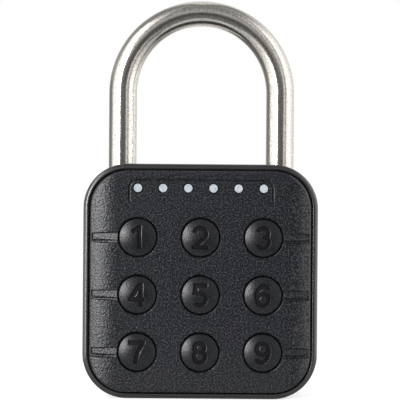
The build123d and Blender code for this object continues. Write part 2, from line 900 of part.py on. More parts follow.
# Pouch cell, the foam tape behind it and its two leads
with BuildPart() as battery_cell:
    with BuildSketch(facing(battery_back_y)):
        with Locations((battery_x, battery_bottom + battery_height / 2)):
            Rectangle(battery_width, battery_height)
    extrude(amount=battery_depth)
    fillet(battery_cell.edges().filter_by(Axis.X), radius=battery_round)
finish(battery_cell, "battery_cell")

with BuildPart() as battery_pad:
    with BuildSketch(facing(battery_back_y)):
        with Locations((battery_x, battery_bottom + battery_height / 2)):
            Rectangle(battery_width * battery_pad_share[0], battery_height * battery_pad_share[1])
    extrude(amount=-battery_pad_thickness)
finish(battery_pad, "battery_pad")


def lead(x, start_y, start_z, turn_z):
    """Insulated wire that leaves straight up or down, bends once and meets the board."""
    with BuildLine(Plane.YZ.offset(x)) as route:
        FilletPolyline(
            (start_y, start_z), (start_y, turn_z), (board_back_y, turn_z), radius=lead_bend
        )
    with BuildSketch(level(start_z)) as section:
        with Locations((x, start_y)):
            Circle(lead_radius)
    sweep(section.sketch, path=route.wires()[0])


with BuildPart() as battery_leads:
    lead_y = (battery_front_y + battery_back_y) / 2
    for side in (-1, 1):
        lead(
            battery_right_x - battery_lead_inset + side * lead_half_spacing,
            lead_y,
            battery_top_z,
            battery_top_z + battery_lead_rise,
        )
finish(battery_leads, "battery_leads")

with BuildPart() as motor_leads:
    for side in (-1, 1):
        lead(side * motor_lead_half_spacing, mech_y, motor_bottom_z, motor_bottom_z - motor_lead_drop)
finish(motor_leads, "motor_leads")

# Cast chassis with the leg bores, the latch pocket, the motor bay and the clamp's pillar
with BuildPart() as lock_chassis:
    chassis_depth = chassis_back_y - chassis_front_y
    with BuildSketch(facing(chassis_front_y)):
        with Locations((0, (head_top_z + head_bottom_z) / 2)):
            Rectangle(2 * chassis_half_width, head_height)
        with Locations((column_x, (head_bottom_z + column_bottom_z) / 2)):
            Rectangle(column_width, head_bottom_z - column_bottom_z)
        with Locations((-column_x, (head_bottom_z + toe_block_bottom_z) / 2)):
            Rectangle(column_width, toe_block_drop)
        with Locations((0, body_middle_z)):
            RectangleRounded(
                2 * chassis_half_width,
                cavity_height - 2 * chassis_clearance,
                chassis_corner,
                mode=Mode.INTERSECT,
            )
    extrude(amount=-chassis_depth)
    with BuildSketch(facing(pillar_front_y)):
        with Locations((0, pillar_bottom_z + pillar_height / 2)):
            Rectangle(2 * pillar_half_width, pillar_height)
    extrude(amount=pillar_front_y - chassis_back_y)
    holes(level(head_top_z), [heel_place], leg_bore_radius, head_top_z - spring_bottom_z)
    holes(level(head_top_z), [toe_place], leg_bore_radius, head_top_z - toe_floor_z)
    holes(
        level(toe_floor_z),
        [toe_place],
        cover_screw_head_radius + head_clearance,
        toe_floor_z - screw_head_seat_z,
    )
    holes(
        level(screw_head_seat_z),
        [toe_place],
        cover_screw_radius + screw_clearance,
        screw_head_seat_z - toe_block_bottom_z,
    )
    with BuildSketch(facing(chassis_front_y)):
        with Locations((0, latch_z)):
            Rectangle(2 * pocket_half_width, pocket_height)
    extrude(amount=-(pocket_half_depth + mech_y - chassis_front_y), mode=Mode.SUBTRACT)
    with BuildSketch(level(latch_z - pocket_height / 2)):
        with Locations((0, mech_y)):
            Rectangle(2 * leg_half_spacing, bolt_width + 2 * bolt_guide_clearance)
    extrude(amount=pocket_height, mode=Mode.SUBTRACT)
    with BuildSketch(level(gearbox_top_z)):
        with Locations((0, mech_y)):
            Circle(shaft_radius + shaft_hole_clearance)
    extrude(amount=latch_floor, mode=Mode.SUBTRACT)
    with BuildSketch(facing(chassis_front_y)):
        with Locations((0, (gearbox_top_z + head_bottom_z) / 2)):
            Rectangle(2 * (motor_radius + motor_bay_clearance), gearbox_top_z - head_bottom_z)
    extrude(amount=chassis_front_y - pillar_front_y, mode=Mode.SUBTRACT)
    with BuildSketch(level(retainer_bottom_z)):
        retainer_back_y = mech_y + leg_radius
        with Locations((column_x, (chassis_front_y + retainer_back_y) / 2)):
            Rectangle(2 * retainer_half_width, retainer_back_y - chassis_front_y)
    extrude(amount=retainer_thickness, mode=Mode.SUBTRACT)
    latch_cover_half_width = pocket_half_width + latch_cover_overhang
    latch_ear_inner = motor_radius + latch_cover_notch_gap
    latch_screw_x = (latch_ear_inner + latch_cover_half_width) / 2
    latch_screw_places = [
        (side * latch_screw_x, latch_z + up * latch_cover_screw_spacing_z / 2)
        for side in (-1, 1)
        for up in (-1, 1)
    ]
    holes(
        facing(chassis_front_y),
        latch_screw_places,
        small_screw_radius + thread_clearance,
        latch_screw_length - latch_cover_thickness + thread_clearance,
    )
    clamp_z = motor_bottom_z + clamp_rise + clamp_height / 2
    clamp_screw_x = motor_radius + clamp_thickness + clamp_ear / 2
    clamp_screw_places = [(-clamp_screw_x, clamp_z), (clamp_screw_x, clamp_z)]
    holes(
        facing(pillar_front_y),
        clamp_screw_places,
        small_screw_radius + thread_clearance,
        clamp_screw_length - clamp_thickness + thread_clearance,
    )
finish(lock_chassis, "lock_chassis")

# Plate that closes the latch pocket, notched over the gearbox
with BuildPart() as latch_cover:
    with BuildSketch(facing(chassis_front_y)):
        plate_height = pocket_height + 2 * latch_cover_margin
        with Locations((0, latch_z)):
            Rectangle(2 * latch_cover_half_width, plate_height)
        notch_top_z = gearbox_top_z + latch_cover_notch_gap
        plate_bottom_z = latch_z - plate_height / 2
        with Locations((0, (notch_top_z + plate_bottom_z) / 2)):
            Rectangle(
                2 * latch_ear_inner,
                notch_top_z - plate_bottom_z,
                mode=Mode.SUBTRACT,
            )
    extrude(amount=latch_cover_thickness)
    holes(
        facing(chassis_front_y - latch_cover_thickness),
        latch_screw_places,
        small_screw_radius + screw_clearance / 2,
        latch_cover_thickness,
    )
finish(latch_cover, "latch_cover")

with BuildPart() as latch_cover_screws:
    screws(
        facing(chassis_front_y - latch_cover_thickness),
        latch_screw_places,
        small_head_radius,
        small_head_height,
        small_screw_radius,
        latch_screw_length,
    )
finish(latch_cover_screws, "latch_cover_screws")


def can_profile(extra):
    """Round can with two flats, larger all round by extra, in the sketch that is open."""
    with Locations((0, mech_y)):
        Circle(motor_radius + extra)
        Rectangle(
            2 * (motor_radius + extra), 2 * (motor_half_depth + extra), mode=Mode.INTERSECT
        )


# Motor can, gearbox and the strap that holds the can to the pillar
with BuildPart() as drive_motor:
    with BuildSketch(level(motor_bottom_z)):
        can_profile(0)
    extrude(amount=motor_length)
    with BuildSketch(level(motor_bottom_z)):
        with Locations((0, mech_y)):
            Circle(motor_end_boss_radius)
    extrude(amount=-motor_end_boss_height)
finish(drive_motor, "drive_motor")

with BuildPart() as gearbox:
    with BuildSketch(level(gearbox_bottom_z)):
        with Locations((0, mech_y)):
            Rectangle(2 * motor_radius, 2 * motor_half_depth)
    extrude(amount=gearbox_length)
    gearbox_middle_z = (gearbox_bottom_z + gearbox_top_z) / 2
    with BuildSketch(facing(mech_y - motor_half_depth)):
        with Locations((0, gearbox_middle_z)):
            Rectangle(gearbox_window_width, gearbox_window_height)
    extrude(amount=-gearbox_window_depth, mode=Mode.SUBTRACT)
    holes(
        level(gearbox_top_z), [(0, mech_y)], shaft_radius + shaft_running_clearance, shaft_seat_depth
    )
finish(gearbox, "gearbox")

with BuildPart() as motor_clamp:
    clamp_bottom_z = clamp_z - clamp_height / 2
    with BuildSketch(level(clamp_bottom_z)):
        can_profile(clamp_thickness)
        with Locations((0, pillar_front_y - clamp_thickness / 2)):
            Rectangle(2 * (motor_radius + clamp_thickness + clamp_ear), clamp_thickness)
        with Locations((0, pillar_front_y + clamp_thickness / 2)):
            Rectangle(2 * (motor_radius + clamp_ear), clamp_thickness, mode=Mode.SUBTRACT)
    extrude(amount=clamp_height)
    with BuildSketch(level(clamp_bottom_z)):
        can_profile(0)
    extrude(amount=clamp_height, mode=Mode.SUBTRACT)
    holes(
        facing(pillar_front_y - clamp_thickness),
        clamp_screw_places,
        small_screw_radius + screw_clearance / 2,
        clamp_thickness,
    )
finish(motor_clamp, "motor_clamp")

with BuildPart() as clamp_screws:
    screws(
        facing(pillar_front_y - clamp_thickness),
        clamp_screw_places,
        small_head_radius,
        small_head_height,
        small_screw_radius,
        clamp_screw_length,
    )
finish(clamp_screws, "clamp_screws")

# Shaft and pinion of the latch
with BuildPart() as output_shaft:
    shaft_bottom_z = gearbox_top_z - shaft_seat_depth
    with BuildSketch(level(shaft_bottom_z)):
        with Locations((0, mech_y)):
            Circle(shaft_radius)
    extrude(amount=latch_z + pinion_height / 2 + shaft_top_reach - shaft_bottom_z)
finish(output_shaft, "output_shaft")


def involute(angle):
    """Involute function of a pressure angle in radians."""
    return tan(angle) - angle


def tooth_half_angle(radius):
    """Half of the angle that a pinion tooth takes at a radius."""
    at_pitch = (pi * gear_module / 2 - tooth_backlash / 2) / (2 * pitch_radius)
    below_base = max(radius, base_radius)
    return at_pitch + involute(radians(pressure_angle)) - involute(acos(base_radius / below_base))


flank_steps = 5
flank_rise = gear_tip_radius - base_radius
flank_radii = [gear_root_radius]
flank_radii += [base_radius + flank_rise * step / flank_steps for step in range(flank_steps + 1)]
gear_points = []
for tooth in range(gear_teeth):
    middle = 2 * pi * tooth / gear_teeth
    for side, radii in ((-1, flank_radii), (1, flank_radii[::-1])):
        for radius in radii:
            turn = middle + side * tooth_half_angle(radius)
            gear_points.append((radius * cos(turn), radius * sin(turn)))

with BuildPart() as latch_pinion:
    with BuildSketch(Plane((0, mech_y, latch_z - pinion_height / 2))):
        with BuildLine():
            Polyline(*gear_points, close=True)
        make_face()
        Circle(shaft_radius + thread_clearance, mode=Mode.SUBTRACT)
    extrude(amount=pinion_height)
finish(latch_pinion, "latch_pinion")

# Bolts: each is a tip that enters a leg's notch, a block and a rack on its own side of the pinion
rack_pitch = pi * gear_module
rack_tip_gap = pitch_radius - gear_module * rack_addendum_share
flank_slope = tan(radians(pressure_angle))
tooth_half_width = rack_pitch / 4 - tooth_backlash / 4
tooth_tip_half = tooth_half_width - (pitch_radius - rack_tip_gap) * flank_slope
tooth_root_half = tooth_half_width + (rack_pitch_gap - pitch_radius) * flank_slope
for side, label in ((-1, "latch_bolt_left"), (1, "latch_bolt_right")):
    with BuildPart() as latch_bolt:
        bolt_plane = Plane(
            origin=(0, mech_y, latch_z - bolt_height / 2), x_dir=(side, 0, 0), z_dir=(0, 0, 1)
        )
        with BuildSketch(bolt_plane):
            with Locations(((bolt_inner_x + bolt_shoulder_x) / 2, 0)):
                Rectangle(bolt_shoulder_x - bolt_inner_x, 2 * rack_back_gap)
            with Locations(((bolt_shoulder_x + bolt_tip_x) / 2, 0)):
                Rectangle(bolt_tip_x - bolt_shoulder_x, bolt_width)
            with Locations(((bolt_inner_x - rack_end_reach) / 2, rack_pitch_gap + rack_backing / 2)):
                Rectangle(bolt_inner_x + rack_end_reach, rack_backing)
            for tooth in range(rack_teeth):
                tooth_x = rack_pitch * (tooth - (rack_teeth - 1) / 2)
                with BuildLine():
                    Polyline(
                        (tooth_x - tooth_root_half, rack_pitch_gap),
                        (tooth_x - tooth_tip_half, rack_tip_gap),
                        (tooth_x + tooth_tip_half, rack_tip_gap),
                        (tooth_x + tooth_root_half, rack_pitch_gap),
                        close=True,
                    )
                make_face()
        extrude(amount=bolt_height)
    finish(latch_bolt, label)

# Shackle: a bent round bar, notched inside both legs, with a neck under the heel's notches
with BuildPart() as shackle:
    for place, end_z in ((heel_place, heel_end_z), (toe_place, toe_end_z)):
        with BuildSketch(level(end_z)):
            with Locations(place):
                Circle(leg_radius)
        extrude(amount=arch_centre_z - end_z)
        tip = shackle.faces().filter_by(Axis.Z).sort_by(
            lambda face: (face.center() - Vector(*place, end_z)).length
        )[0]
        chamfer(tip.edges(), length=leg_tip_chamfer)
    with BuildSketch(level(arch_centre_z)):
        with Locations(toe_place):
            Circle(leg_radius)
    revolve(axis=Axis((0, mech_y, arch_centre_z), (0, -1, 0)), revolution_arc=180)
    for place, inward, heights in (
        (heel_place, 1, (latch_z, latch_z - shackle_lift)),
        (toe_place, -1, (latch_z,)),
    ):
        for height in heights:
            with BuildSketch(level(height - notch_height / 2)):
                with Locations((place[0] + inward * (notch_flat + leg_radius / 2), mech_y)):
                    Rectangle(leg_radius, 2 * leg_radius)
            extrude(amount=notch_height, mode=Mode.SUBTRACT)
    with BuildSketch(level(neck_bottom_z)):
        with Locations(heel_place):
            Circle(leg_radius + overrun)
            Circle(neck_radius, mode=Mode.SUBTRACT)
    extrude(amount=neck_top_z - neck_bottom_z, mode=Mode.SUBTRACT)
finish(shackle, "shackle")

# Lift spring under the heel leg
with BuildPart() as shackle_spring:
    with BuildLine() as coil:
        Helix(
            spring_pitch,
            heel_end_z - spring_bottom_z - spring_wire,
            spring_coil_radius,
            center=(heel_place[0], mech_y, spring_bottom_z + spring_wire / 2),
        )
    coil_path = coil.wires()[0]
    with BuildSketch(Plane(origin=coil_path @ 0, z_dir=coil_path % 0)):
        Circle(spring_wire / 2)
    sweep(path=coil_path, is_frenet=True)
finish(shackle_spring, "shackle_spring")

# Slotted plate that stops the heel leg at the top of its lift
with BuildPart() as shackle_retainer:
    with BuildSketch(level(retainer_bottom_z)):
        with Locations((column_x, (chassis_front_y + retainer_back_y) / 2)):
            Rectangle(2 * retainer_half_width, retainer_back_y - chassis_front_y)
        slot_half = neck_radius + retainer_clearance
        with Locations(heel_place):
            Circle(slot_half, mode=Mode.SUBTRACT)
        with Locations((heel_place[0], mech_y + leg_radius / 2)):
            Rectangle(2 * slot_half, leg_radius, mode=Mode.SUBTRACT)
    extrude(amount=retainer_thickness)
finish(shackle_retainer, "shackle_retainer")

# Rubber rings between the chassis and a step in the casing's leg holes
with BuildPart() as leg_seals:
    with BuildSketch(level(seal_ring_bottom_z)):
        with Locations(*leg_places):
            Circle(leg_bore_radius + seal_ring_width)
            Circle(leg_bore_radius, mode=Mode.SUBTRACT)
    extrude(amount=seal_ring_height)
finish(leg_seals, "leg_seals")
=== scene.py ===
import json
from math import acos, asin, atan2, cos, degrees, hypot, pi, radians, sin, sqrt

import bmesh
import bpy
import numpy as np
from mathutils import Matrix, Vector


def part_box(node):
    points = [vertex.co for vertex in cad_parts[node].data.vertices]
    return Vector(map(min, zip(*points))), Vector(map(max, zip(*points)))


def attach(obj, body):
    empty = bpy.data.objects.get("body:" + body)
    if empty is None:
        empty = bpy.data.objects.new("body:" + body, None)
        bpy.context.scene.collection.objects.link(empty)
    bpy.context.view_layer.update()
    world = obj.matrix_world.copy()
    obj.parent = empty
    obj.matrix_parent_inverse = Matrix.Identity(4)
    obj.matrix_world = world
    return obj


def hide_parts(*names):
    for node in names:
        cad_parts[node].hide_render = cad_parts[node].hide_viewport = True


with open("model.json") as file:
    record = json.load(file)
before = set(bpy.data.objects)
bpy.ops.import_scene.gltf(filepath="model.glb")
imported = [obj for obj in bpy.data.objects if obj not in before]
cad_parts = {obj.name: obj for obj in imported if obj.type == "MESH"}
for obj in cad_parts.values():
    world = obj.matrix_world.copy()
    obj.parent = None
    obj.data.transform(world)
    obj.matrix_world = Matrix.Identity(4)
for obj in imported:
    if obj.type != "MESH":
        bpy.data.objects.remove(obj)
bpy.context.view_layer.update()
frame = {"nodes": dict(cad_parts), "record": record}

mm = 0.001

# Sizes read from the frame
shackle_low, shackle_high = [Vector(corner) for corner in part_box("shackle")]
bar_radius = (shackle_high.y - shackle_low.y) / 2
bar_y = (shackle_high.y + shackle_low.y) / 2
leg_x = shackle_high.x - bar_radius
arch_z = shackle_high.z - shackle_high.x
heel_end_z = shackle_low.z
body_top_z = Vector(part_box("outer_casing")[1]).z

# How much thinner the shackle's crown is on its inside, which the solids leave out
crown_thinning = 0.58 * mm

# Shackle, as in the solids
toe_depth = 14 * mm
tip_chamfer = 0.8 * mm
notch_depth = 1.79 * mm
notch_flat = bar_radius - notch_depth
notch_half_height = 1.85 * mm
latch_below_top = 8.9 * mm
shackle_lift = 15 * mm
neck_radius = 2.5 * mm
neck_above_heel = 2.5 * mm
neck_length = 16.7 * mm

# Keys, as in the solids: a dome, a rounded edge that meets it, a straight side and a flange
key_cap_radius = 4.38 * mm
key_crown_height = 0.75 * mm
key_edge_round = 0.28 * mm
key_flange_thickness = 0.8 * mm
key_numbers = range(1, 10)
dome_radius = (key_cap_radius**2 + key_crown_height**2) / (2 * key_crown_height)
edge_reach = key_cap_radius - key_edge_round
edge_angle = asin(edge_reach / (dome_radius - key_edge_round))
edge_depth = sqrt((dome_radius - key_edge_round) ** 2 - edge_reach**2)
cap_reach = dome_radius * sin(edge_angle)

# Engraved digits. The last three values are distances from a digit's outline, minus inside it
digit_height = 5.7 * mm
digit_stroke = 1.2 * mm
digit_reach = (digit_height - digit_stroke) / 2
digit_depth = 0.4 * mm
digit_shoulder_radius = 0.6 * mm
digit_shoulder_start = 0.16 * mm
digit_shoulder_end = -0.13 * mm
digit_wall_foot = -0.22 * mm

# Fineness of the meshes. Angles are in degrees
smooth_angle = 30
merge_distance = 0.001 * mm
bar_sides = 96
arch_steps = 120
shackle_edge_round = 0.12 * mm
shackle_edge_segments = 2
shackle_edge_angle = 35
key_grid = 97
key_edge_steps = 6
gradient_step = 0.01 * mm
floor_sides = 64

# Digits in shares of digit_reach. Rings have a centre and a radius, a gap is cut from them, and a pen
# draws lines, arcs by centre, radius, first angle and sweep, and bends through three points
digit_shares = {
    1: [
        ("line", (0.17, -1.27), (0.17, 1.27)),
        ("line", (0.12, 1), (-0.55, 0.5)),
    ],
    2: [
        ("arc", (0, 0.4), 0.6, 170, -220),
        ("line", (0.386, -0.06), (-0.5, -0.804)),
        ("line", (-0.9, -1), (0.88, -1)),
    ],
    3: [
        ("rings", ((0, 0.5), 0.5), ((0, -0.43), 0.57)),
        ("gap", (0, 0.5), (-1.3, 0.85), (-1.3, -0.78), (0, -0.43), (-0.14, -0.17), (-0.14, 0.32)),
    ],
    4: [
        ("line", (0.38, -1.27), (0.38, 1.27)),
        ("line", (0.28, 1.1), (-0.68, -0.5)),
        ("line", (-0.95, -0.5), (0.84, -0.5)),
    ],
    5: [
        ("line", (0.84, 1), (-0.707, 1)),
        ("line", (-0.424, 1.267), (-0.5, 0)),
        ("arc", (0, -0.4), 0.6, 135, -280),
    ],
    6: [
        ("rings", ((0, -0.42), 0.58)),
        ("bend", (-0.57, -0.5), (-0.44, 0.6), (0.06, 0.98)),
        ("bend", (0.06, 0.98), (0.4, 0.88), (0.58, 0.56)),
        ("bend", (-0.2, 0.837), (0.06, 0.98), (0.348, 0.916)),
    ],
    7: [
        ("line", (-0.88, 1), (0.9, 1)),
        ("bend", (0.6, 0.82), (0.08, -0.1), (-0.14, -1.27)),
    ],
    8: [("rings", ((0, 0.5), 0.5), ((0, -0.43), 0.57))],
    9: [
        ("rings", ((0, 0.42), 0.58)),
        ("bend", (0.57, 0.5), (0.44, -0.6), (-0.06, -0.98)),
        ("bend", (-0.06, -0.98), (-0.4, -0.88), (-0.58, -0.56)),
        ("bend", (0.2, -0.837), (-0.06, -0.98), (-0.348, -0.916)),
    ],
}

# Camera, with its lens and sensor in millimetres and its roll in degrees
camera_x = -0.19 * mm
camera_distance = 400 * mm
camera_z = 46.58 * mm
camera_lens = 150.3
camera_roll = -0.45
sensor_width = 36

# Studio: radiance by azimuth and elevation, in degrees. Azimuth 0 is the camera's side, minus is left
studio_peak = 2.1
studio_azimuths = [
    (-180, 0.6), (-150, 0.5), (-130, 0.35), (-118, 0.25), (-103, 0.4), (-92, 1.0), (-82, 1.7),
    (-70, 1.8), (-42, 2.0), (-34, 1.9), (-27, 0.7), (-19, 0.14), (-8, 0.06), (10, 0.06),
    (17, 0.1), (25, 0.25), (33, 1.4), (42, 0.35), (49, 0.8), (57, 1.8), (85, 2.0), (96, 1.6),
    (141, 1.0), (180, 0.6),
]
studio_fading = [(-90, 0), (-50, 0.25), (-25, 0.5), (-8, 1), (40, 1), (60, 0.3), (90, 0.2)]
studio_overhead = [
    (-90, 0.25), (-25, 0.2), (-12, 0.1), (2, 0.12), (15, 0.55), (30, 0.5), (50, 0.34), (90, 0.34),
]

# The white backdrop behind the object, which metal shows too, fades in between these azimuths
backdrop_azimuths = (150, 170)

# Lamps: azimuth and elevation in degrees, width and height in metres, power in watts
studio_lamps = {
    "key_light": (-33, 9, 0.19, 0.43, 4.7),
    "corner_light": (-65, 43, 0.25, 0.25, 1.2),
}
lamp_distance = 0.9

# Floor
floor_radius = 0.08
floor_tone = (0.8, 0.8, 0.8)
floor_glow = 0.62

# Distances from the cover's middle where a painted sheen, standing in for the light its rolled sides
# reflect, begins on those sides, and where it is full
painted_sheen_from = 22.3 * mm
painted_sheen_to = 25.2 * mm

# Finishes of the pieces inside, by slot: name, dark and pale tone, roughness, size and depth of the
# grain, and its stretch along x, y and z
plain_metals = {
    "steel": ("zinc_plate", (0.5, 0.5, 0.51), (0.62, 0.61, 0.58), 0.3, 0.3 * mm, 0.004 * mm),
    "spring_steel": ("drawn_wire", (0.38, 0.39, 0.4), (0.48, 0.48, 0.49), 0.28, 0.1 * mm, 0.002 * mm),
    "cast_metal": ("die_cast", (0.36, 0.36, 0.37), (0.46, 0.46, 0.47), 0.5, 0.5 * mm, 0.02 * mm),
    "brass": (
        "turned_brass", (0.62, 0.46, 0.2), (0.72, 0.56, 0.29), 0.25, 0.2 * mm, 0.003 * mm, (1, 1, 8)
    ),
}
plain_plastics = {
    "rubber": ("matt_rubber", (0.018, 0.018, 0.019), (0.032, 0.032, 0.034), 0.7, 0.15 * mm, 0.008 * mm),
    "silicone": ("grey_silicone", (0.26, 0.27, 0.28), (0.36, 0.37, 0.38), 0.45, 0.3 * mm, 0.006 * mm),
    "component_black": (
        "moulded_parts", (0.02, 0.02, 0.022), (0.035, 0.035, 0.037), 0.45, 0.2 * mm, 0.008 * mm
    ),
    "led_white": ("led_resin", (0.8, 0.78, 0.66), (0.88, 0.86, 0.76), 0.2, 0.3 * mm, 0.003 * mm),
    "foam": ("foam_tape", (0.05, 0.05, 0.052), (0.1, 0.1, 0.105), 0.9, 0.25 * mm, 0.06 * mm),
    "lead_red": ("lead_insulation", (0.42, 0.02, 0.02), (0.55, 0.035, 0.03), 0.35, 0.4 * mm, 0.004 * mm),
}

# Metallic value, size of the clouds, and the shares of the roughness that the grain goes between
metal_body = (1.0, 4 * mm, 0.8, 1.3)
plastic_body = (0.0, 3 * mm, 0.85, 1.2)

# Places of a Mix node's sockets when it blends colours
mix_share = 0
mix_first = 6
mix_second = 7
mix_result = 2


# Meshes
def smooth_mesh(name, fill, *values):
    """Object made from a bmesh that fill fills, smooth but for its sharper edges."""
    shape = bmesh.new()
    fill(shape, *values)
    bmesh.ops.recalc_face_normals(shape, faces=shape.faces)
    mesh = bpy.data.meshes.new(name)
    shape.to_mesh(mesh)
    shape.free()
    mesh.shade_smooth()
    mesh.set_sharp_from_angle(angle=radians(smooth_angle))
    piece = bpy.data.objects.new(name, mesh)
    bpy.context.scene.collection.objects.link(piece)
    return piece


def bridge(shape, first, second):
    """Quads between two closed loops of as many vertices."""
    count = len(first)
    for index in range(count):
        after = (index + 1) % count
        shape.faces.new([first[index], first[after], second[after], second[index]])


# Shackle
def bar_angles():
    """Angles round the bar, with the corners of the notches among them. Angle 0 is the inner side."""
    angles = [2 * pi * side / bar_sides for side in range(bar_sides)]
    for radius in (bar_radius, neck_radius):
        corner = acos(notch_flat / radius)
        angles += [corner, 2 * pi - corner]
    return sorted(angles)


def leg_rings(end_z, notch_heights, neck):
    """Rings of one leg from its tip up to the arch, as (z, radius, notched)."""
    rings = [(end_z, bar_radius - tip_chamfer, False), (end_z + tip_chamfer, bar_radius, False)]
    steps = [(neck[0], "neck", 1), (neck[1], "neck", 0)] if neck else []
    for height in notch_heights:
        steps.append((height - notch_half_height, "notch", 1))
        steps.append((height + notch_half_height, "notch", 0))
    state = {"neck": 0, "notch": 0}
    for z, kind, value in sorted(steps):
        for _ in ("before", "after"):
            radius = neck_radius if state["neck"] else bar_radius
            rings.append((z, radius, bool(state["notch"])))
            state[kind] = value
    return rings


def arch_stations():
    """The stations over the arch, from the heel's side to the toe's."""
    outer = leg_x + bar_radius
    stations = []
    for step in range(arch_steps + 1):
        angle = pi - pi * step / arch_steps
        inner = leg_x - bar_radius + crown_thinning * sin(angle) ** 2
        middle = (outer + inner) / 2
        outward = Vector((cos(angle), 0, sin(angle)))
        centre = Vector((0, bar_y, arch_z)) + outward * middle
        stations.append((centre, -outward, (outer - inner) / 2, bar_radius, False))
    return stations


def shackle_stations():
    """Stations from the heel to the toe: centre, inner direction, radial reach, depth and notch."""
    latch_z = body_top_z - latch_below_top
    neck_z = heel_end_z + neck_above_heel
    heel = leg_rings(heel_end_z, (latch_z - shackle_lift, latch_z), (neck_z, neck_z + neck_length))
    toe = leg_rings(body_top_z - toe_depth, (latch_z,), None)
    stations = [(Vector((-leg_x, bar_y, z)), Vector((1, 0, 0)), r, r, cut) for z, r, cut in heel]
    stations += arch_stations()
    stations += [(Vector((leg_x, bar_y, z)), Vector((-1, 0, 0)), r, r, cut) for z, r, cut in toe[::-1]]
    return stations


def station_loop(shape, angles, station):
    """Vertices round the bar at one station."""
    centre, inward, reach, depth, notched = station
    loop = []
    for angle in angles:
        inner = reach * cos(angle)
        if notched:
            inner = min(inner, notch_flat)
        point = centre + inward * inner + Vector((0, depth * sin(angle), 0))
        loop.append(shape.verts.new(point))
    return loop


def skin_bar(shape, loops, angles, along):
    """Faces between the loops, with the way round and along the bar as their UV, in millimetres."""
    layer = shape.loops.layers.uv.new("bar")
    count = len(angles)
    for ring in range(len(loops) - 1):
        for index in range(count):
            after = (index + 1) % count
            turn, next_turn = angles[index], angles[after] or 2 * pi
            corners = [
                (loops[ring][index], turn, along[ring]),
                (loops[ring][after], next_turn, along[ring]),
                (loops[ring + 1][after], next_turn, along[ring + 1]),
                (loops[ring + 1][index], turn, along[ring + 1]),
            ]
            face = shape.faces.new([corner[0] for corner in corners])
            for corner, (_, angle, length) in zip(face.loops, corners):
                corner[layer].uv = (angle * bar_radius / mm, length / mm)


def fill_shackle(shape):
    """Bar from the heel's tip over the arch to the toe's tip."""
    stations = shackle_stations()
    along = [0.0]
    for before, after in zip(stations, stations[1:]):
        along.append(along[-1] + (after[0] - before[0]).length)
    angles = bar_angles()
    loops = [station_loop(shape, angles, station) for station in stations]
    skin_bar(shape, loops, angles, along)
    shape.faces.new(loops[0][::-1])
    shape.faces.new(loops[-1])
    bmesh.ops.remove_doubles(shape, verts=shape.verts, dist=merge_distance)
    bmesh.ops.dissolve_degenerate(shape, edges=shape.edges, dist=merge_distance)


def make_shackle():
    """One smooth bar with finely rounded edges, in place of the solid."""
    piece = smooth_mesh("shackle_bar", fill_shackle)
    edges = piece.modifiers.new("edges", "BEVEL")
    edges.width = shackle_edge_round
    edges.segments = shackle_edge_segments
    edges.limit_method = "ANGLE"
    edges.angle_limit = radians(shackle_edge_angle)
    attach(piece, "shackle")
    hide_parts("shackle")
    piece.data.materials.append(nickel())


# Distances to a digit's outline, in metres, below zero inside it. x and z are arrays of points
def line_distance(x, z, first, last, half):
    """Straight stroke with square ends."""
    middle = ((first[0] + last[0]) / 2, (first[1] + last[1]) / 2)
    length = hypot(last[0] - first[0], last[1] - first[1])
    way = ((last[0] - first[0]) / length, (last[1] - first[1]) / length)
    along = np.abs((x - middle[0]) * way[0] + (z - middle[1]) * way[1]) - length / 2
    aside = np.abs((z - middle[1]) * way[0] - (x - middle[0]) * way[1]) - half
    outside = np.hypot(np.maximum(along, 0), np.maximum(aside, 0))
    return outside + np.minimum(np.maximum(along, aside), 0)


def arc_distance(x, z, centre, radius, first_angle, sweep, half):
    """Curved stroke with square ends."""
    middle = radians(first_angle + sweep / 2)
    reach = radians(abs(sweep) / 2)
    across = (x - centre[0]) * cos(middle) + (z - centre[1]) * sin(middle)
    aside = np.abs((z - centre[1]) * cos(middle) - (x - centre[0]) * sin(middle))
    ring = np.abs(np.hypot(across, aside) - radius) - half
    end = aside * cos(reach) - across * sin(reach)
    return np.maximum(ring, end)


def bend_distance(x, z, first, middle, last, half):
    """Curved stroke through three points."""
    ax, az = middle[0] - first[0], middle[1] - first[1]
    bx, bz = last[0] - first[0], last[1] - first[1]
    cross = 2 * (ax * bz - az * bx)
    ux = (bz * (ax**2 + az**2) - az * (bx**2 + bz**2)) / cross
    uz = (ax * (bx**2 + bz**2) - bx * (ax**2 + az**2)) / cross
    centre = (first[0] + ux, first[1] + uz)
    start = degrees(atan2(first[1] - centre[1], first[0] - centre[0]))
    through = degrees(atan2(middle[1] - centre[1], middle[0] - centre[0]))
    stop = degrees(atan2(last[1] - centre[1], last[0] - centre[0]))
    sweep = (stop - start) % 360
    if (through - start) % 360 > sweep:
        sweep -= 360
    return arc_distance(x, z, centre, hypot(ux, uz), start, sweep, half)


def rings_distance(x, z, rings, half):
    """Rings that run into each other, each with its centre and radius."""
    reaches = [np.hypot(x - centre[0], z - centre[1]) - radius for centre, radius in rings]
    outer = np.min([reach - half for reach in reaches], axis=0)
    inner = np.min([reach + half for reach in reaches], axis=0)
    return np.maximum(outer, -inner)


def polygon_distance(x, z, corners):
    """Closed polygon."""
    nearest = np.full_like(x, np.inf)
    inside = np.zeros(x.shape, dtype=bool)
    for (ax, az), (bx, bz) in zip(corners, corners[1:] + corners[:1]):
        ex, ez = bx - ax, bz - az
        share = np.clip(((x - ax) * ex + (z - az) * ez) / (ex**2 + ez**2), 0, 1)
        nearest = np.minimum(nearest, np.hypot(x - ax - share * ex, z - az - share * ez))
        if az != bz:
            crossing = ax + (z - az) / (bz - az) * ex
            inside ^= ((z < az) != (z < bz)) & (x < crossing)
    return np.where(inside, -nearest, nearest)


def place(point):
    """Point of a digit in metres, from its shares."""
    return (point[0] * digit_reach, point[1] * digit_reach)


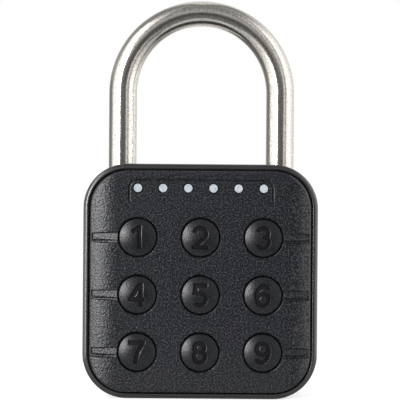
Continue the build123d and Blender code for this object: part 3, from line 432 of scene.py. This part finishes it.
def stroke_distance(x, z, kind, values):
    """One stroke, or one group of rings, of a digit."""
    half = digit_stroke / 2
    if kind == "line":
        return line_distance(x, z, *map(place, values), half)
    if kind == "bend":
        return bend_distance(x, z, *map(place, values), half)
    if kind == "arc":
        centre, radius, first_angle, sweep = values
        return arc_distance(x, z, place(centre), radius * digit_reach, first_angle, sweep, half)
    rings = [(place(centre), radius * digit_reach) for centre, radius in values]
    return rings_distance(x, z, rings, half)


def digit_distance(number, x, z):
    """A whole digit."""
    best = np.full_like(x, np.inf)
    for kind, *values in digit_shares[number]:
        if kind == "gap":
            best = np.maximum(best, -polygon_distance(x, z, list(map(place, values))))
        else:
            best = np.minimum(best, stroke_distance(x, z, kind, values))
    return best


def digit_slope(number, x, z):
    """How the distance to a digit changes over two steps sideways and two steps up."""
    step = gradient_step
    sideways = digit_distance(number, x + step, z) - digit_distance(number, x - step, z)
    up = digit_distance(number, x, z + step) - digit_distance(number, x, z - step)
    return sideways, up


def snap_to_digit(number, x, z, free, cell):
    """Moves grid points that lie near a crease of the digit's walls onto it."""
    for level in (digit_shoulder_start, digit_shoulder_end, digit_wall_foot):
        here = digit_distance(number, x, z) - level
        slope_x, slope_z = digit_slope(number, x, z)
        size = np.maximum(np.hypot(slope_x, slope_z), gradient_step)
        near = free & (np.abs(here) < cell / 2)
        x = np.where(near, x - here * slope_x / size, x)
        z = np.where(near, z - here * slope_z / size, z)
    return x, z


def digit_sink(distance):
    """How deep the surface lies at a distance from a digit's outline: a shoulder, a wall, a floor."""
    width = digit_shoulder_start - digit_shoulder_end
    reach = np.clip(digit_shoulder_start - distance, 0, width)
    shoulder = digit_shoulder_radius - np.sqrt(digit_shoulder_radius**2 - reach**2)
    below = digit_depth - digit_shoulder_radius + sqrt(digit_shoulder_radius**2 - width**2)
    wall = (digit_shoulder_end - distance) / (digit_shoulder_end - digit_wall_foot)
    return shoulder + np.clip(wall, 0, 1) * below


# Keys
def key_points(number):
    """Square grid drawn onto the cap's disc, with its points near a digit's creases on them."""
    share = np.linspace(-1, 1, key_grid)
    across, up = np.meshgrid(share, share)
    x = across * np.sqrt(1 - up**2 / 2) * cap_reach
    z = up * np.sqrt(1 - across**2 / 2) * cap_reach
    free = (np.abs(across) < 1) & (np.abs(up) < 1)
    cell = 2 * cap_reach / (key_grid - 1)
    return snap_to_digit(number, x, z, free, cell)


def fill_dome(shape, number, centre_x, front_y, centre_z):
    """Dome with its engraved digit. Returns the grid of its vertices."""
    x, z = key_points(number)
    distance = digit_distance(number, x, z)
    dome = front_y + dome_radius - np.sqrt(dome_radius**2 - x**2 - z**2)
    y = dome + digit_sink(distance)
    grid = [
        [shape.verts.new((centre_x + x[i, j], y[i, j], centre_z + z[i, j])) for j in range(key_grid)]
        for i in range(key_grid)
    ]
    for i in range(key_grid - 1):
        for j in range(key_grid - 1):
            face = shape.faces.new((grid[i][j], grid[i][j + 1], grid[i + 1][j + 1], grid[i + 1][j]))
            # Faces below the digit's shoulder take the second material, a painted shade on the digit's
            # floor.
            face.material_index = int(distance[i:i + 2, j:j + 2].mean() < digit_shoulder_end)
    return grid


def grid_rim(grid):
    """Outermost vertices of a square grid, in their order round it."""
    last = len(grid) - 1
    rim = [grid[0][j] for j in range(last)]
    rim += [grid[i][last] for i in range(last)]
    rim += [grid[last][j] for j in range(last, 0, -1)]
    rim += [grid[i][0] for i in range(last, 0, -1)]
    return rim


def key_profile(front_y, back_y, flange_radius):
    """Radius and depth of the rings from the rounded edge to the flange's back."""
    edge_centre_y = front_y + dome_radius - edge_depth
    flange_front_y = back_y - key_flange_thickness
    profile = []
    for step in range(1, key_edge_steps + 1):
        angle = edge_angle + (pi / 2 - edge_angle) * step / key_edge_steps
        radius = edge_reach + key_edge_round * sin(angle)
        profile.append((radius, edge_centre_y - key_edge_round * cos(angle)))
    profile.append((key_cap_radius, flange_front_y))
    profile.append((flange_radius, flange_front_y))
    profile.append((flange_radius, back_y))
    return profile


def fill_key(shape, number, low, high):
    """Domed cap with its engraved digit, then the rounded edge, the side, the flange and the back."""
    centre_x = (low.x + high.x) / 2
    centre_z = (low.z + high.z) / 2
    flange_radius = (high.x - low.x) / 2
    loop = grid_rim(fill_dome(shape, number, centre_x, low.y, centre_z))
    turns = [atan2(vertex.co.z - centre_z, vertex.co.x - centre_x) for vertex in loop]
    for radius, depth in key_profile(low.y, high.y, flange_radius):
        ring = [
            shape.verts.new((centre_x + radius * cos(turn), depth, centre_z + radius * sin(turn)))
            for turn in turns
        ]
        bridge(shape, loop, ring)
        loop = ring
    shape.faces.new(loop)


def make_keys():
    """Nine keys whose digits have rounded shoulders, in place of the solids."""
    finishes = (key_plastic(), painted_digit_shade())
    for number in key_numbers:
        node = f"key_{number}"
        low, high = [Vector(corner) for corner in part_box(node)]
        piece = smooth_mesh(f"{node}_cap", fill_key, number, low, high)
        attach(piece, node)
        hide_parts(node)
        for finish in finishes:
            piece.data.materials.append(finish)


# Nodes. A value of theirs is a number, a colour or a link
def feed(tree, socket, value):
    """Links a socket or sets its value."""
    if isinstance(value, bpy.types.NodeSocket):
        tree.links.new(value, socket)
    elif socket.type == "RGBA":
        socket.default_value = (*value, 1)
    else:
        socket.default_value = value


def add(tree, kind, inputs=None, **settings):
    """New node with its settings and inputs."""
    node = tree.nodes.new(kind)
    for name, value in settings.items():
        setattr(node, name, value)
    for name, value in (inputs or {}).items():
        feed(tree, node.inputs[name], value)
    return node


def compute(tree, operation, *values):
    """Result of a math node."""
    return add(tree, "ShaderNodeMath", dict(enumerate(values)), operation=operation).outputs[0]


def compute_tone(tree, operation, *values):
    """Result of a math node for colours."""
    return add(tree, "ShaderNodeVectorMath", dict(enumerate(values)), operation=operation).outputs[0]


def spread(tree, value, low, high):
    """Value 0 to 1 spread over low to high."""
    inputs = {"Value": value, "To Min": low, "To Max": high}
    return add(tree, "ShaderNodeMapRange", inputs).outputs["Result"]


def sharpen(tree, value, low, high):
    """0 below low and 1 above high, smooth between."""
    inputs = {"Value": value, "From Min": low, "From Max": high}
    return add(tree, "ShaderNodeMapRange", inputs, interpolation_type="SMOOTHSTEP").outputs["Result"]


def blend_colors(tree, share, first, second):
    """Colour between two."""
    inputs = {mix_share: share, mix_first: first, mix_second: second}
    return add(tree, "ShaderNodeMix", inputs, data_type="RGBA").outputs[mix_result]


def noise(tree, points, size, detail=3, roughness=0.5, stretch=None):
    """Noise whose grain is about size across, in the unit of its points. stretch scales its axes."""
    if stretch:
        inputs = {"Vector": points, "Scale": stretch}
        points = add(tree, "ShaderNodeMapping", inputs).outputs["Vector"]
    inputs = {"Vector": points, "Scale": 1 / size, "Detail": detail, "Roughness": roughness}
    return add(tree, "ShaderNodeTexNoise", inputs).outputs["Fac"]


def cells(tree, points, size):
    """Rounded cells about size across, in metres."""
    inputs = {"Vector": points, "Scale": 1 / size, "Smoothness": 0.6}
    return add(tree, "ShaderNodeTexVoronoi", inputs, feature="SMOOTH_F1").outputs["Distance"]


def bumps(tree, surface, *layers):
    """Stacks heights, each with its depth in metres, on the shader's normal."""
    normal = None
    for height, depth in layers:
        inputs = {"Height": height, "Distance": depth, "Strength": 1.0}
        if normal:
            inputs["Normal"] = normal
        normal = add(tree, "ShaderNodeBump", inputs).outputs["Normal"]
    feed(tree, surface.inputs["Normal"], normal)


# Materials. Tones are linear, and sizes and depths of grain are in metres
def principled(name, color, roughness, metallic=0.0, **sockets):
    """Material, its tree, its shader and its object coordinates. Links replace most of the values."""
    material = bpy.data.materials.new(name)
    material.use_nodes = True
    tree = material.node_tree
    surface = tree.nodes["Principled BSDF"]
    values = {"Base_Color": color, "Roughness": roughness, "Metallic": metallic, **sockets}
    for socket, value in values.items():
        feed(tree, surface.inputs[socket.replace("_", " ")], value)
    points = add(tree, "ShaderNodeTexCoord").outputs["Object"]
    return material, tree, surface, points


def casing_paint():
    """Satin black powder coat: a fine orange peel, faint patches and edges that are rubbed pale."""
    dark, pale = (0.009, 0.009, 0.01), (0.015, 0.015, 0.017)
    rub_wear_and_sheen = (0.045, 0.045, 0.047)
    peel_depth, grain_depth = 0.01 * mm, 0.004 * mm
    material, tree, surface, points = principled(
        "casing_powder_coat", (0.012, 0.012, 0.013), 0.2, Specular_IOR_Level=0.85
    )
    peel = noise(tree, points, size=0.9 * mm, detail=2, roughness=0.45)
    grain = noise(tree, points, size=0.25 * mm, detail=2)
    patches = noise(tree, points, size=9 * mm, detail=4)
    tone = blend_colors(tree, patches, dark, pale)
    pointiness = add(tree, "ShaderNodeNewGeometry").outputs["Pointiness"]
    wear_and_sheen_tone = blend_colors(tree, sharpen(tree, pointiness, low=0.52, high=0.6), tone, rub_wear_and_sheen)
    feed(tree, surface.inputs["Base Color"], wear_and_sheen_tone)
    feed(tree, surface.inputs["Roughness"], spread(tree, patches, low=0.2, high=0.32))
    bumps(tree, surface, (peel, peel_depth), (grain, grain_depth))
    return material


def cover_plastic():
    """Moulded black plastic with a fine pebble, paler on its peaks, and a painted sheen on the peaks of
    its rolled sides.
    """
    dark, pale = (0.002, 0.0025, 0.0045), (0.005, 0.0057, 0.0085)
    peak, painted_sheen_peak = (0.04, 0.0415, 0.048), (0.055, 0.056, 0.061)
    pebble_depth, grain_depth = 0.04 * mm, 0.055 * mm
    material, tree, surface, points = principled(
        "cover_pebbled", (0.012, 0.012, 0.014), 0.3, Specular_IOR_Level=0.4
    )
    pebble = cells(tree, points, size=0.46 * mm)
    grain = noise(tree, points, size=0.37 * mm, detail=2, roughness=0.6)
    patches = noise(tree, points, size=7 * mm)
    tone = blend_colors(tree, patches, dark, pale)
    peaks = blend_colors(tree, sharpen(tree, grain, low=0.49, high=0.62), tone, peak)
    # Painted sheen: the peaks on the rolled sides are made paler, standing in for the light reflected
    # there.
    sideways = add(tree, "ShaderNodeSeparateXYZ", {"Vector": points}).outputs["X"]
    rub_wear_and_sheen = sharpen(tree, compute(tree, "ABSOLUTE", sideways), painted_sheen_from, painted_sheen_to)
    painted_sheen_share = compute(tree, "MULTIPLY", rub_wear_and_sheen, sharpen(tree, grain, low=0.4, high=0.6))
    wear_and_sheen_tone = blend_colors(tree, painted_sheen_share, peaks, painted_sheen_peak)
    feed(tree, surface.inputs["Base Color"], wear_and_sheen_tone)
    feed(tree, surface.inputs["Roughness"], spread(tree, grain, low=0.24, high=0.36))
    bumps(tree, surface, (pebble, pebble_depth), (grain, grain_depth))
    return material


def key_plastic():
    """Satin black keys: a very fine spark grain and the faint polish that fingers leave."""
    dark, pale = (0.002, 0.0025, 0.004), (0.014, 0.015, 0.0185)
    grain_depth = 0.035 * mm
    material, tree, surface, points = principled(
        "key_satin", (0.01, 0.01, 0.012), 0.3, Specular_IOR_Level=0.36
    )
    grain = noise(tree, points, size=0.35 * mm, detail=2, roughness=0.6)
    polish = noise(tree, points, size=4 * mm, detail=2)
    tone = blend_colors(tree, sharpen(tree, grain, low=0.35, high=0.7), dark, pale)
    feed(tree, surface.inputs["Base Color"], tone)
    feed(tree, surface.inputs["Roughness"], spread(tree, polish, low=0.24, high=0.36))
    bumps(tree, surface, (grain, grain_depth))
    return material


def painted_digit_shade():
    """Painted shade: a dull black, darker than the keys, at the bottom of the digits, standing in for
    the shade of a deeper recess.
    """
    dark, pale = (0.002, 0.002, 0.003), (0.007, 0.007, 0.009)
    grain_depth = 0.01 * mm
    material, tree, surface, points = principled(
        "digit_floor_painted_shade", (0.004, 0.004, 0.005), 0.6, Specular_IOR_Level=0.15
    )
    grain = noise(tree, points, size=0.2 * mm, detail=2)
    feed(tree, surface.inputs["Base Color"], blend_colors(tree, grain, dark, pale))
    feed(tree, surface.inputs["Roughness"], spread(tree, grain, low=0.5, high=0.7))
    bumps(tree, surface, (grain, grain_depth))
    return material


def nickel():
    """Bright nickel over a drawn bar: streaks along it, dark specks and faint clouds."""
    dark, pale = (0.6, 0.57, 0.525), (0.72, 0.69, 0.64)
    speck = (0.41, 0.388, 0.355)
    streak_depth, hairline_depth, grain_depth = 0.004 * mm, 0.0015 * mm, 0.011 * mm
    material, tree, surface, points = principled("shackle_nickel", (0.62, 0.61, 0.59), 0.16, 1.0)
    # The bar's UV is in millimetres, and so are the sizes of these two
    bar = add(tree, "ShaderNodeUVMap", uv_map="bar").outputs["UV"]
    streaks = noise(tree, bar, size=0.22, detail=4, roughness=0.6, stretch=(1, 0.03, 1))
    hairlines = noise(tree, bar, size=0.08, detail=3, roughness=0.6, stretch=(1, 0.05, 1))
    clouds = noise(tree, points, size=3 * mm)
    grain = noise(tree, points, size=0.32 * mm, detail=3, roughness=0.65)
    tone = blend_colors(tree, sharpen(tree, streaks, low=0.3, high=0.7), dark, pale)
    speckled = blend_colors(tree, sharpen(tree, grain, low=0.38, high=0.54), speck, tone)
    feed(tree, surface.inputs["Base Color"], speckled)
    cloudy = spread(tree, clouds, low=0.08, high=0.16)
    rough = compute(tree, "ADD", cloudy, spread(tree, grain, low=0, high=0.06))
    feed(tree, surface.inputs["Roughness"], rough)
    bumps(tree, surface, (streaks, streak_depth), (hairlines, hairline_depth), (grain, grain_depth))
    return material


def lamp_clear():
    """Milky light guide, a little clouded inside."""
    dark, pale = (0.38, 0.41, 0.455), (0.56, 0.59, 0.63)
    cloud_depth = 0.004 * mm
    scatter = (0.4 * mm, 0.4 * mm, 0.4 * mm)
    material, tree, surface, points = principled(
        "lamp_milky", (0.55, 0.6, 0.65), 0.2, IOR=1.49, Subsurface_Weight=0.3, Subsurface_Radius=scatter
    )
    cloud = noise(tree, points, size=0.5 * mm)
    tone = blend_colors(tree, sharpen(tree, cloud, low=0.35, high=0.65), dark, pale)
    feed(tree, surface.inputs["Base Color"], tone)
    bumps(tree, surface, (cloud, cloud_depth))
    return material


def board_green():
    """Solder mask over copper traces, with a fine weave showing through."""
    mask, trace = (0.02, 0.13, 0.055), (0.05, 0.24, 0.1)
    trace_depth, weave_depth = 0.02 * mm, 0.004 * mm
    trace_size = 2.4 * mm
    material, tree, surface, points = principled("board_mask", (0.03, 0.16, 0.07), 0.35)
    inputs = {"Vector": points, "Rotation": (pi / 2, 0, 0)}
    upright = add(tree, "ShaderNodeMapping", inputs).outputs["Vector"]
    inputs = {"Vector": upright, "Scale": 1 / trace_size, "Mortar Size": 0.08, "Mortar Smooth": 0.2}
    traces = add(tree, "ShaderNodeTexBrick", inputs).outputs["Fac"]
    weave = noise(tree, points, size=0.3 * mm, detail=2)
    feed(tree, surface.inputs["Base Color"], blend_colors(tree, traces, mask, trace))
    feed(tree, surface.inputs["Roughness"], spread(tree, weave, low=0.28, high=0.42))
    bumps(tree, surface, (traces, trace_depth), (weave, weave_depth))
    return material


def cell_foil():
    """Pouch foil with soft creases."""
    dark, pale = (0.55, 0.56, 0.57), (0.72, 0.73, 0.74)
    crease_depth, grain_depth = 0.15 * mm, 0.005 * mm
    material, tree, surface, points = principled("cell_foil", (0.62, 0.63, 0.64), 0.3, 1.0)
    creases = noise(tree, points, size=3 * mm, detail=4, roughness=0.6)
    grain = noise(tree, points, size=0.2 * mm, detail=2)
    feed(tree, surface.inputs["Base Color"], blend_colors(tree, creases, dark, pale))
    feed(tree, surface.inputs["Roughness"], spread(tree, grain, low=0.25, high=0.4))
    bumps(tree, surface, (creases, crease_depth), (grain, grain_depth))
    return material


def plain_finish(body, name, dark, pale, roughness, grain_size, grain_depth, stretch=None):
    """Metal, plastic, rubber or foam between two tones, with a grain of its own."""
    metallic, cloud_size, smoothest, roughest = body
    material, tree, surface, points = principled(name, dark, roughness, metallic)
    grain = noise(tree, points, grain_size, detail=4, roughness=0.6, stretch=stretch)
    clouds = noise(tree, points, cloud_size)
    feed(tree, surface.inputs["Base Color"], blend_colors(tree, clouds, dark, pale))
    rough = spread(tree, grain, roughness * smoothest, roughness * roughest)
    feed(tree, surface.inputs["Roughness"], rough)
    bumps(tree, surface, (grain, grain_depth))
    return material


def slot_materials():
    """One material for each slot of the nodes that stay."""
    finishes = {
        "casing_paint": casing_paint(),
        "cover_plastic": cover_plastic(),
        "lamp_clear": lamp_clear(),
        "board_green": board_green(),
        "cell_foil": cell_foil(),
    }
    for slot, values in plain_metals.items():
        finishes[slot] = plain_finish(metal_body, *values)
    for slot, values in plain_plastics.items():
        finishes[slot] = plain_finish(plastic_body, *values)
    return finishes


def dress_nodes():
    """Gives every CAD node that stays its slot's material."""
    finishes = slot_materials()
    slots = {part["node"]: part["material_slot"] for part in frame["record"]["subparts"]}
    for name, node in frame["nodes"].items():
        if slots[name] in finishes:
            node.data.materials.clear()
            node.data.materials.append(finishes[slots[name]])


# Studio
def seen_directly(tree, path):
    """1 for rays from the camera, also through clear pieces, and 0 for all others."""
    return compute(tree, "MAXIMUM", path["Is Camera Ray"], path["Is Transmission Ray"])


def ramp(tree, value, stops, top):
    """Tone as a share of top, straight from stop to stop. A stop is a value and its tone."""
    low, high = stops[0][0], stops[-1][0]
    share = add(tree, "ShaderNodeMapRange", {"Value": value, "From Min": low, "From Max": high})
    node = add(tree, "ShaderNodeValToRGB", {"Fac": share.outputs["Result"]})
    elements = node.color_ramp.elements
    # New elements start in the middle, and all are then put in their places
    while len(elements) < len(stops):
        elements.new(0.5)
    for element, (stop, tone) in zip(elements, stops):
        element.position = (stop - low) / (high - low)
        element.color = (tone / top, tone / top, tone / top, 1)
    return node.outputs["Color"]


def ray_angles(tree):
    """Azimuth and elevation of a ray, in degrees."""
    way = add(tree, "ShaderNodeTexCoord").outputs["Generated"]
    parts = add(tree, "ShaderNodeSeparateXYZ", {"Vector": way}).outputs
    front = compute(tree, "MULTIPLY", parts["Y"], -1.0)
    azimuth = compute(tree, "ARCTAN2", parts["X"], front)
    elevation = compute(tree, "ARCSINE", parts["Z"])
    return compute(tree, "DEGREES", azimuth), compute(tree, "DEGREES", elevation)


def studio_tone(tree, azimuth, elevation):
    """Soft boxes round a dark camera side, under light from above, as a share of the peak."""
    around = ramp(tree, azimuth, studio_azimuths, studio_peak)
    fading = ramp(tree, elevation, studio_fading, 1)
    overhead = ramp(tree, elevation, studio_overhead, studio_peak)
    return compute_tone(tree, "MAXIMUM", compute_tone(tree, "MULTIPLY", around, fading), overhead)


def make_world():
    """White to the eye, and behind the object to metal too. To all other rays it is the studio."""
    world = bpy.data.worlds.new("studio")
    bpy.context.scene.world = world
    world.use_nodes = True
    tree = world.node_tree
    tree.nodes.clear()
    azimuth, elevation = ray_angles(tree)
    tone = studio_tone(tree, azimuth, elevation)
    studio = add(tree, "ShaderNodeBackground", {"Color": tone, "Strength": studio_peak}).outputs[0]
    white = add(tree, "ShaderNodeBackground", {"Color": (1, 1, 1), "Strength": 1.0}).outputs[0]
    path = add(tree, "ShaderNodeLightPath").outputs
    behind = sharpen(tree, compute(tree, "ABSOLUTE", azimuth), *backdrop_azimuths)
    mirrored = compute(tree, "MULTIPLY", path["Is Glossy Ray"], behind)
    seen = compute(tree, "MAXIMUM", seen_directly(tree, path), mirrored)
    mixed = add(tree, "ShaderNodeMixShader", {0: seen, 1: studio, 2: white}).outputs[0]
    add(tree, "ShaderNodeOutputWorld", {"Surface": mixed})


def make_lamp(name, azimuth, elevation, width, height, power):
    """Soft oval lamp that points at the middle of the body."""
    light = bpy.data.lights.new(name, "AREA")
    light.shape = "ELLIPSE"
    light.size = width
    light.size_y = height
    light.energy = power
    lamp = bpy.data.objects.new(name, light)
    lamp.visible_camera = False
    turn, rise = radians(azimuth), radians(elevation)
    way = Vector((sin(turn) * cos(rise), -cos(turn) * cos(rise), sin(rise)))
    lamp.location = Vector((0, 0, body_top_z / 2)) + way * lamp_distance
    lamp.rotation_euler = way.to_track_quat("Z", "Y").to_euler()
    bpy.context.scene.collection.objects.link(lamp)


def floor_paper():
    """Pale paper that looks white to the eye and keeps the shadow."""
    material = bpy.data.materials.new("floor_paper")
    material.use_nodes = True
    tree = material.node_tree
    tree.nodes.clear()
    paper = add(tree, "ShaderNodeBsdfDiffuse", {"Color": floor_tone}).outputs[0]
    glow = add(tree, "ShaderNodeEmission", {"Strength": floor_glow}).outputs[0]
    lifted = add(tree, "ShaderNodeAddShader", {0: paper, 1: glow}).outputs[0]
    seen = seen_directly(tree, add(tree, "ShaderNodeLightPath").outputs)
    mixed = add(tree, "ShaderNodeMixShader", {0: seen, 1: paper, 2: lifted}).outputs[0]
    add(tree, "ShaderNodeOutputMaterial", {"Surface": mixed})
    return material


def make_floor():
    """Round floor for the camera's view alone."""
    mesh = bpy.data.meshes.new("floor")
    turns = [2 * pi * side / floor_sides for side in range(floor_sides)]
    rim = [(floor_radius * cos(turn), floor_radius * sin(turn), 0) for turn in turns]
    mesh.from_pydata(rim, [], [range(floor_sides)])
    mesh.materials.append(floor_paper())
    floor = bpy.data.objects.new("floor", mesh)
    bpy.context.scene.collection.objects.link(floor)


def make_camera():
    """Level view of the front, with the small roll of the photograph."""
    data = bpy.data.cameras.new("camera")
    data.lens = camera_lens
    data.sensor_width = sensor_width
    camera = bpy.data.objects.new("camera", data)
    camera.location = (camera_x, -camera_distance, camera_z)
    camera.rotation_euler = (pi / 2, radians(camera_roll), 0)
    bpy.context.scene.collection.objects.link(camera)
    bpy.context.scene.camera = camera


bpy.context.scene.view_settings.view_transform = "Standard"
make_world()
for lamp_name, lamp_values in studio_lamps.items():
    make_lamp(lamp_name, *lamp_values)
make_floor()
make_camera()
dress_nodes()
make_shackle()
make_keys()
